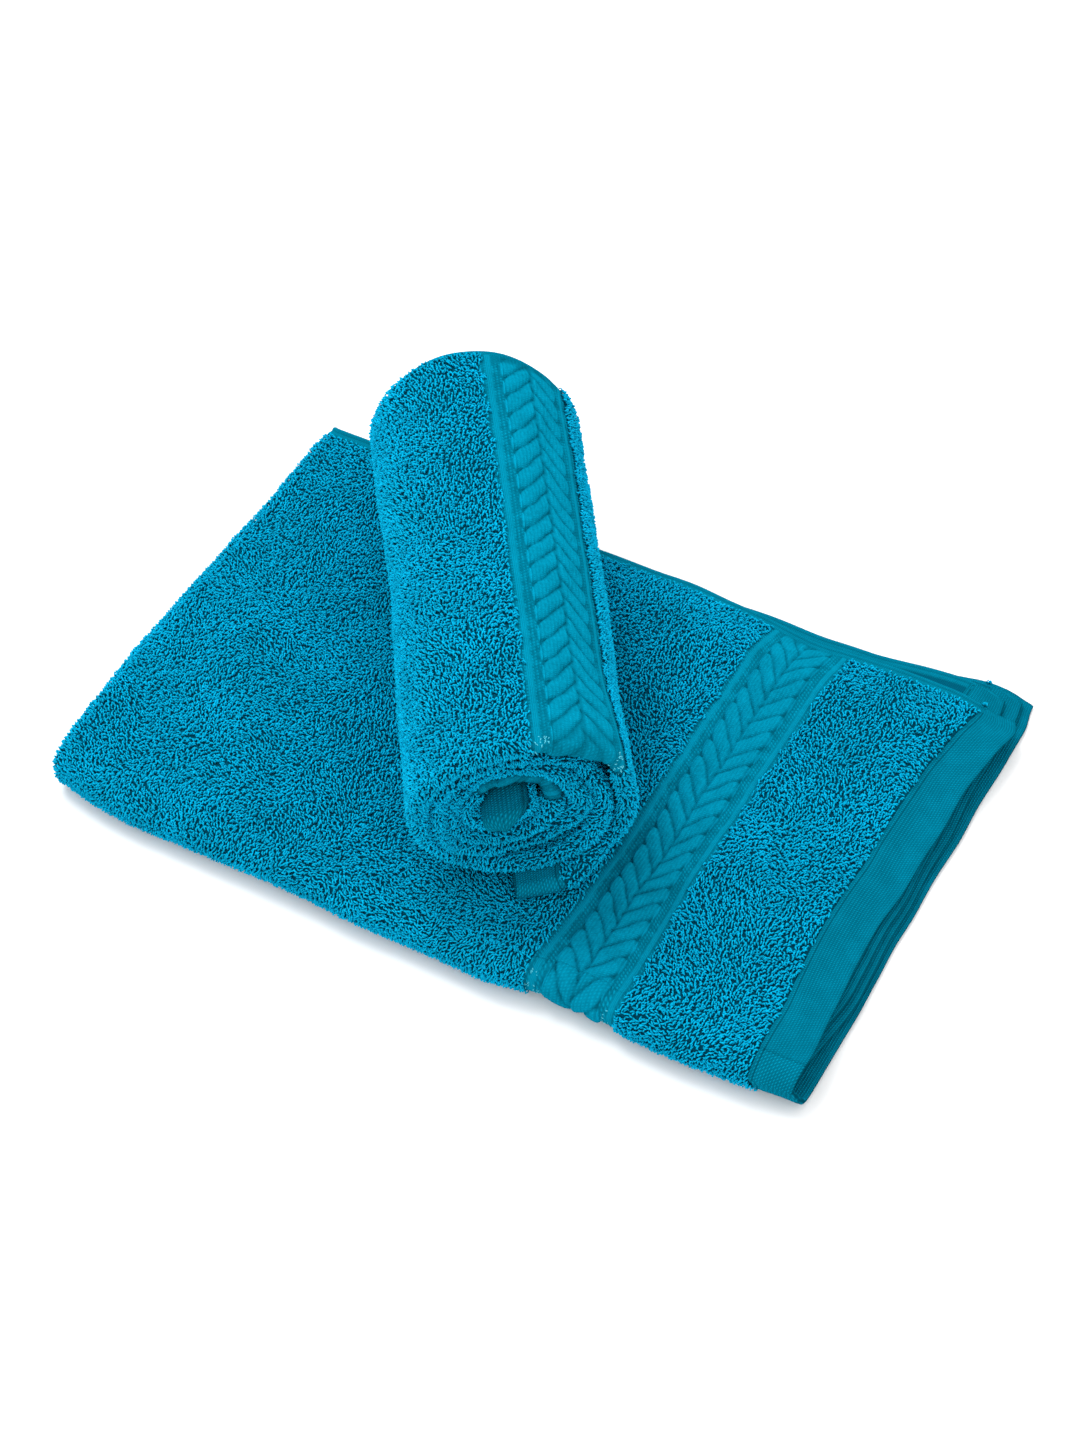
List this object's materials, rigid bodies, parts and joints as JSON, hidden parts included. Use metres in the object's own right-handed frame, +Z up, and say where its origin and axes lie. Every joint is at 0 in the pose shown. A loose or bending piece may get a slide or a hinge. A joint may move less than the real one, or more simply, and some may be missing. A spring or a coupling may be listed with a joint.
{
  "type": "bath towel set",
  "caption": "Terry towel folded flat with a matching towel rolled up and laid across it, with a raised chevron border band, satin stripes and flat woven hems.",
  "frame": {"origin": "the middle of the folded towel's underside, on the surface it lies on", "axes": "+X along the folded towel from its end fold to its hems, +Y from its long front fold to its selvedges, +Z up"},
  "size_m": [0.315, 0.2179, 0.0949],
  "materials": {
    "pile_cloth": "looped terry pile",
    "chevron_weave": "raised herringbone band",
    "satin_stripe": "flat stripe with a sheen",
    "flat_weave": "plain flat weave"
  },
  "bodies": {
    "lower_half": {"front_fold_border": "chevron_weave", "front_fold_end_strip": "pile_cloth", "front_fold_field": "pile_cloth", "front_fold_hem": "flat_weave", "front_fold_inner_hem": "flat_weave", "front_fold_inner_ply": "pile_cloth", "lower_border_band": "chevron_weave", "lower_end_fold": "pile_cloth", "lower_end_strip": "pile_cloth", "lower_inner_hem": "flat_weave", "lower_inner_ply": "pile_cloth", "lower_inner_selvedge": "flat_weave", "lower_outer_field": "pile_cloth", "lower_outer_hem": "flat_weave", "lower_outer_selvedge": "flat_weave"},
    "upper_half": {"upper_chevron_band": "chevron_weave", "upper_end_fold": "pile_cloth", "upper_end_strip": "pile_cloth", "upper_inner_hem": "flat_weave", "upper_inner_ply": "pile_cloth", "upper_inner_selvedge": "flat_weave", "upper_outer_field": "pile_cloth", "upper_outer_hem": "flat_weave", "upper_outer_selvedge": "flat_weave", "upper_satin_stripe_field_side": "satin_stripe", "upper_satin_stripe_hem_side": "satin_stripe"},
    "rolled_towel": {"roll_chevron_band": "chevron_weave", "roll_core_hem": "flat_weave", "roll_end_strip": "pile_cloth", "roll_front_fold": "pile_cloth", "roll_inner_ply": "pile_cloth", "roll_inner_ply_core_hem": "flat_weave", "roll_inner_ply_outer_hem": "flat_weave", "roll_inner_selvedge": "flat_weave", "roll_outer_field": "pile_cloth", "roll_outer_hem": "flat_weave", "roll_outer_selvedge": "flat_weave", "roll_satin_stripe_field_side": "satin_stripe", "roll_satin_stripe_hem_side": "satin_stripe"}
  },
  "joints": [
    {"name": "top_half_lift", "type": "hinge", "parent": "lower_half", "child": "upper_half", "pos_m": [0, -0.10125, 0.0098], "axis": [1, 0, 0], "range_deg": [0, 25], "deforming": ["front_fold_border", "front_fold_end_strip", "front_fold_field", "front_fold_hem", "front_fold_inner_hem", "front_fold_inner_ply"]},
    {"name": "roll_lift", "type": "slide", "parent": "upper_half", "child": "rolled_towel", "axis": [0, 0, 1], "range_m": [0, 0.15]}
  ]
}
